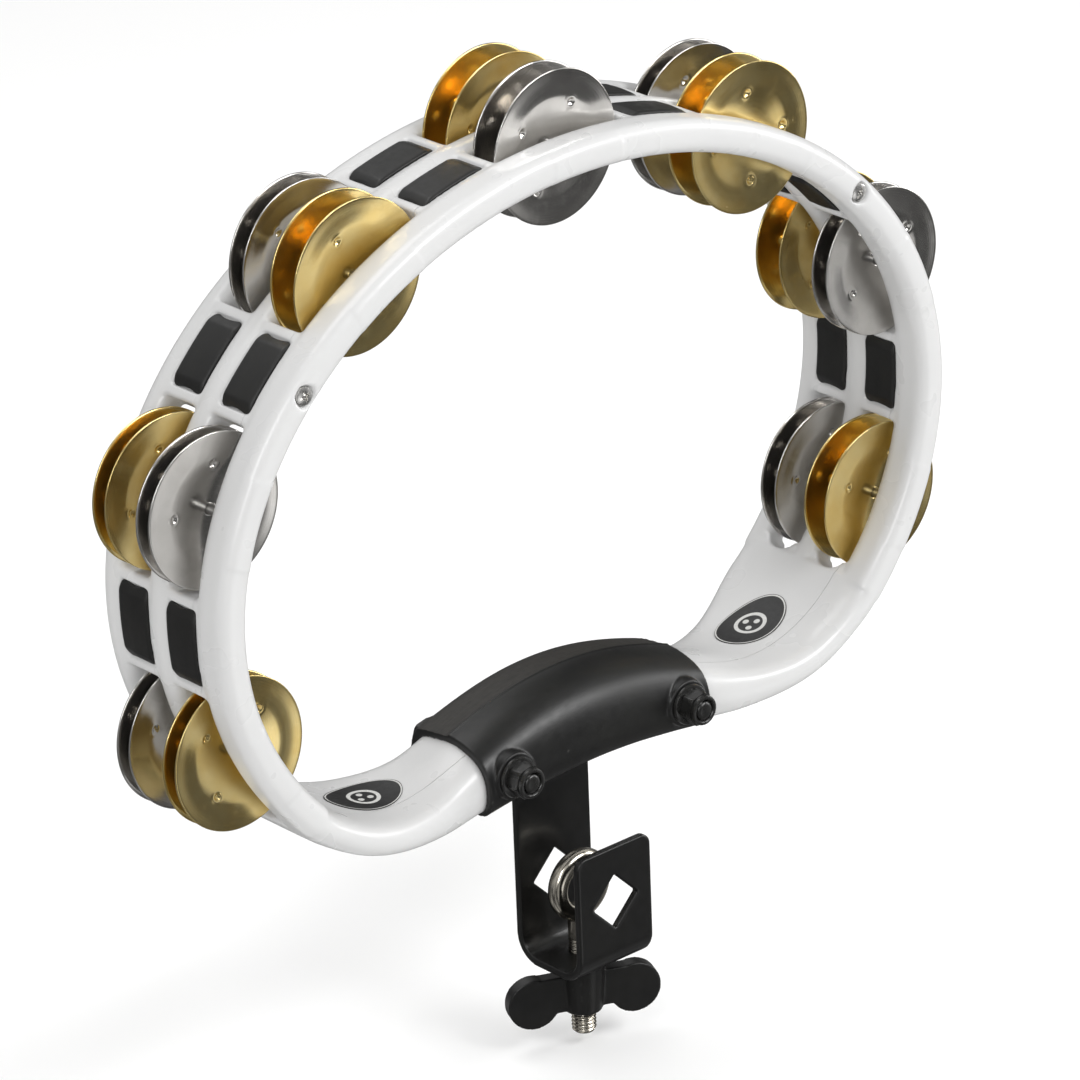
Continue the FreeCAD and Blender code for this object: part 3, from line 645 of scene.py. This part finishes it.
def turned(rows, segments, hex_turn):
    """Vertices of stacked round or hexagonal rings about the axis, as (x, height, z)."""
    verts = []
    for corner, limit, height in rows:
        for k in range(segments):
            a = 2 * math.pi * k / segments
            r = limit
            if corner:
                wedge = (a - hex_turn) % (math.pi / 3) - math.pi / 6
                r = min(limit, corner * math.cos(math.pi / 6) / math.cos(wedge))
            verts.append((r * math.cos(a), height, r * math.sin(a)))
    return verts


def add_turned(parts, rows, x, y, z, direction, closed, hex_turn=math.radians(12)):
    """Adds one turned solid to the (verts, faces) lists in parts."""
    segments = 96
    verts, faces = parts
    start = len(verts)
    for vx, height, vz in turned(rows, segments, hex_turn):
        verts.append(((x + vx) * MM, (y + direction * height) * MM, (z + vz) * MM))
    faces += [tuple(start + k for k in f) for f in ring_strip(len(rows), segments, closed, True)]
    if not closed:
        faces.append(tuple(start + k for k in range(segments)))
        faces.append(tuple(start + (len(rows) - 1) * segments + k for k in range(segments)))


def crisp(obj, degrees=35):
    """Keeps facet edges sharp while round parts stay smooth."""
    obj.data.set_sharp_from_angle(angle=math.radians(degrees))


def build_fasteners():
    jobs = (
        ("nuts", "cover_nuts", NUT_ROWS, NUT_SEAT_Y, -1, True),
        ("washers", "cover_washers", WASHER_ROWS, WASHER_SEAT_Y, -1, True),
    )
    for name, node, rows, y, direction, closed in jobs:
        parts = ([], [])
        for x in (-BOLT_X, BOLT_X):
            add_turned(parts, rows, x, y, BOLT_Z, direction, closed)
        mesh = outward(mesh_from(name, *parts))
        crisp(make_object(name, mesh, FASTENER, "frame", (node,)))
    parts = ([], [])
    for x in (-BOLT_X, BOLT_X):
        add_turned(parts, HEAD_ROWS, x, HEAD_SEAT_Y, BOLT_Z, 1, False)
        add_turned(parts, STUD_ROWS, x, BOLT_TIP_Y, BOLT_Z, 1, False)
    mesh = outward(mesh_from("bolts", *parts))
    crisp(make_object("bolts", mesh, FASTENER, "frame", ("cover_bolts",)))


SCREW_SEAT_Y = -25.9
SCREW_HEAD_R = 2.85
SCREW_HEAD = 1.7
SCREW_SHANK_R = 1.5
SCREW_TIP_Y = -4.0
SCREW_TURNS = (0.35, 1.0)


def screw_face(u, v):
    """Height of the screw head over its seat, with a cross recess."""
    r = math.hypot(u, v)
    dome = SCREW_HEAD - 0.35 * (r / SCREW_HEAD_R) ** 3
    arm = 0.0
    for a, b in ((u, v), (v, u)):
        wide = max(0.0, 1 - (abs(a) / (0.62 - 0.16 * abs(b))) ** 6) if abs(b) < 2.2 else 0.0
        long = max(0.0, 1 - (abs(b) / 1.75) ** 4)
        arm = max(arm, min(1.0, 2.5 * wide) * min(1.0, 3.0 * long))
    return dome - 1.15 * arm


def build_rim_screws():
    segments, rings = 96, 30
    verts, faces = [], []
    angles = web_angles()
    for t, turn in ((angles[1], SCREW_TURNS[0]), (angles[-2], SCREW_TURNS[1])):
        centre = oval_point(t)
        start = len(verts)
        rows = []
        for i in range(rings + 1):
            rows.append((0.02 + (SCREW_HEAD_R - 0.02) * i / rings, None))
        rows += [(SCREW_HEAD_R + 0.05, 1.1), (SCREW_HEAD_R + 0.05, 0.15), (SCREW_HEAD_R - 0.1, 0.0)]
        rows += [(SCREW_SHANK_R, 0.0), (SCREW_SHANK_R, SCREW_SEAT_Y - SCREW_TIP_Y), (0.02, SCREW_SEAT_Y - SCREW_TIP_Y)]
        for r, height in rows:
            for k in range(segments):
                a = 2 * math.pi * k / segments
                u, v = r * math.cos(a), r * math.sin(a)
                h = screw_face(u, v) if height is None else height
                c, d = math.cos(turn), math.sin(turn)
                px, pz = u * c - v * d, u * d + v * c
                verts.append(((centre.x + px) * MM, (SCREW_SEAT_Y - h) * MM, (centre.z + pz) * MM))
        faces += [tuple(start + k for k in f) for f in ring_strip(len(rows), segments, False, True)]
        faces.append(tuple(start + k for k in range(segments)))
        faces.append(tuple(start + (len(rows) - 1) * segments + k for k in range(segments)))
    mesh = outward(mesh_from("cross_screws", verts, faces))
    crisp(make_object("cross_screws", mesh, SCREW, "frame", ("rim_screws",)), 50)


# ------------------------------------------------------------ eyebolt
THREAD_R = 3.93
THREAD_DEPTH = 0.55
THREAD_PITCH = 1.25
THREAD_TOP = -150.0
THREAD_TIP = -184.0
SHANK_CUT = -151.0


def thread_mesh(name, centre_y):
    """Threaded rod about Z: the groove winds down the rod, with a chamfered tip."""
    segments, steps = 72, 10
    count = int((THREAD_TOP - THREAD_TIP) / THREAD_PITCH * steps)
    verts = []
    for i in range(count + 1):
        z = THREAD_TIP + (THREAD_TOP - THREAD_TIP) * i / count
        fade = min(1.0, (THREAD_TOP - z) / 1.5)
        tip = THREAD_R - 0.9 * max(0.0, 1 - (z - THREAD_TIP) / 0.9)
        for k in range(segments):
            a = 2 * math.pi * k / segments
            wave = ((z / THREAD_PITCH - k / segments) % 1.0 - 0.5) * 2
            groove = max(0.0, abs(wave) * 1.25 - 0.25) ** 1.2
            r = min(tip, THREAD_R - THREAD_DEPTH * fade * (1 - groove))
            verts.append((r * math.cos(a) * MM, centre_y + r * math.sin(a) * MM, z * MM))
    faces = ring_strip(count + 1, segments, False, True)
    faces.append(tuple(range(segments)))
    faces.append(tuple(count * segments + k for k in range(segments)))
    return outward(mesh_from(name, verts, faces))


def build_eyebolt():
    soft = softened(cad_copy(("eyebolt",), "eye"), "eye", 0.3 * MM, 6)
    bm = bmesh.new()
    bm.from_mesh(soft)
    cut = bmesh.ops.bisect_plane(
        bm,
        geom=bm.verts[:] + bm.edges[:] + bm.faces[:],
        plane_co=(0, 0, SHANK_CUT * MM),
        plane_no=(0, 0, 1),
        clear_inner=True,
    )
    edges = [e for e in cut["geom_cut"] if isinstance(e, bmesh.types.BMEdge)]
    bmesh.ops.triangle_fill(bm, use_beauty=True, use_dissolve=False, edges=edges)
    bm.from_mesh(thread_mesh("thread", box_centre("eyebolt").y - RING.y))
    bmesh.ops.recalc_face_normals(bm, faces=bm.faces)
    mesh = bpy.data.meshes.new("eye_and_thread")
    bm.to_mesh(mesh)
    bm.free()
    make_object("eye_and_thread", mesh, NICKEL, "eyebolt", ("eyebolt",))


# ------------------------------------------------------------ CAD nodes that keep their shape
def paint(node, material):
    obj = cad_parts[node]
    obj.data.materials.clear()
    obj.data.materials.append(material)


def paint_cad():
    for k in range(2 * STATIONS_PER_SIDE + 1):
        paint("jingle_pin_%d" % (k + 1), PIN)
    for side in ("left", "right"):
        paint("label_" + side, label_print("label_" + side + "_print", "label_" + side))


# ------------------------------------------------------------ stage
CAMERA_AZIMUTH = -40.95
CAMERA_ELEVATION = 23.89
CAMERA_ROLL = -2.23
CAMERA_DISTANCE = 1.9947
CAMERA_LENS = 218.6
CAMERA_TARGET = Vector((-0.0004, -0.0001, -0.0198))
FLOOR_DROP = 0.004
# direction, inner and outer half angle (deg), brightness of the white cards seen in reflections
REFLECTED_CARDS = (
    ((0.26, -0.87, -0.42), 7, 15, 1.7),
    ((0.95, -0.25, -0.20), 10, 26, 0.6),
    ((-0.30, -0.75, 0.60), 8, 20, 0.5),
    ((0.10, 0.85, 0.50), 12, 30, 0.7),
)


def look_matrix(azimuth, elevation, roll):
    a, e, r = (math.radians(v) for v in (azimuth, elevation, roll))
    back = Vector((math.sin(a) * math.cos(e), -math.cos(a) * math.cos(e), math.sin(e)))
    level = Vector((math.cos(a), math.sin(a), 0))
    rise = back.cross(level)
    right = math.cos(r) * level + math.sin(r) * rise
    up = -math.sin(r) * level + math.cos(r) * rise
    return Matrix((right, up, back)).transposed(), back


def build_camera():
    data = bpy.data.cameras.new("camera")
    data.lens = CAMERA_LENS
    data.clip_start, data.clip_end = 0.05, 30.0
    camera = bpy.data.objects.new("camera", data)
    bpy.context.scene.collection.objects.link(camera)
    turn, back = look_matrix(CAMERA_AZIMUTH, CAMERA_ELEVATION, CAMERA_ROLL)
    place = RING + CAMERA_TARGET + back * CAMERA_DISTANCE
    camera.matrix_world = Matrix.Translation(place) @ turn.to_4x4()
    bpy.context.scene.camera = camera


def area_light(name, place, target, size, power, tint=(1, 1, 1)):
    data = bpy.data.lights.new(name, "AREA")
    data.shape = "RECTANGLE"
    data.size, data.size_y = size
    data.energy = power
    data.color = tint
    light = bpy.data.objects.new(name, data)
    bpy.context.scene.collection.objects.link(light)
    light.location = RING + Vector(place)
    light.rotation_mode = "QUATERNION"
    light.rotation_quaternion = (Vector(target) - Vector(place)).to_track_quat("-Z", "Y")


def build_world():
    """Even white light on rough surfaces; a banded studio with white cards for reflections."""
    world = bpy.data.worlds.new("studio")
    bpy.context.scene.world = world
    world.use_nodes = True
    nodes, links = world.node_tree.nodes, world.node_tree.links

    def put(kind, settings, values, wires):
        node = nodes.new(kind)
        for key, value in settings.items():
            setattr(node, key, value)
        for key, value in values.items():
            node.inputs[key].default_value = value
        for key, socket in wires.items():
            links.new(socket, node.inputs[key])
        return node

    direction = nodes.new("ShaderNodeTexCoord").outputs["Generated"]
    stretch = put("ShaderNodeMapping", {}, {"Scale": (1.0, 1.0, 0.5)}, {"Vector": direction})
    cloud = put("ShaderNodeTexNoise", {}, {"Scale": 2.1, "Detail": 1.0}, {"Vector": stretch.outputs[0]})
    limits = {"From Min": 0.42, "From Max": 0.60, "To Min": 0.10, "To Max": 0.75}
    total = put("ShaderNodeMapRange", {}, limits, {"Value": cloud.outputs["Fac"]}).outputs[0]
    for place, inner, outer, level in REFLECTED_CARDS:
        toward = Vector(place).normalized()
        dot = put("ShaderNodeVectorMath", {"operation": "DOT_PRODUCT"}, {1: toward}, {0: direction})
        edges = {
            "From Min": math.cos(math.radians(outer)),
            "From Max": math.cos(math.radians(inner)),
            "To Max": level,
        }
        smooth = {"interpolation_type": "SMOOTHSTEP"}
        card = put("ShaderNodeMapRange", smooth, edges, {"Value": dot.outputs["Value"]})
        total = put("ShaderNodeMath", {"operation": "ADD"}, {}, {0: total, 1: card.outputs[0]}).outputs[0]
    path = nodes.new("ShaderNodeLightPath").outputs["Is Glossy Ray"]
    choice = put("ShaderNodeMix", {"data_type": "FLOAT"}, {2: 1.0}, {0: path, 3: total})
    links.new(choice.outputs[0], nodes["Background"].inputs["Color"])
    nodes["Background"].inputs["Strength"].default_value = 0.62


def build_stage():
    low, high = CAD_BOX
    z = low.z - FLOOR_DROP
    mesh = mesh_from("floor", [(-6, -6, z), (6, -6, z), (6, 6, z), (-6, 6, z)], [(0, 1, 2, 3)])
    floor = bpy.data.objects.new("floor", mesh)
    bpy.context.scene.collection.objects.link(floor)
    t = Tree("floor_paper")
    tone = t.mix(t.noise(3, 2), colour(0.90, 0.90, 0.90), colour(0.92, 0.92, 0.915))
    mesh.materials.append(t.set(Base_Color=tone, Roughness=0.9, Specular_IOR_Level=0.0))

    floor.visible_glossy = False
    build_world()
    area_light("key", (0.66, -1.32, 1.25), (0, 0, -0.05), (1.3, 0.5), 20)
    area_light("left", (-1.5, -1.0, 0.9), (0, 0, 0), (0.5, 1.3), 11)
    area_light("right", (1.7, -0.7, 0.5), (0, 0, 0), (0.5, 1.2), 10)
    area_light("top", (-0.3, 0.5, 1.8), (0, 0, 0), (1.4, 0.9), 12)

    scene = bpy.context.scene
    scene.view_settings.view_transform = "Standard"
    scene.view_settings.look = "None"


build_shell()
build_inserts()
build_jingles()
build_softened()
build_fasteners()
build_rim_screws()
build_eyebolt()
paint_cad()
build_camera()
build_stage()
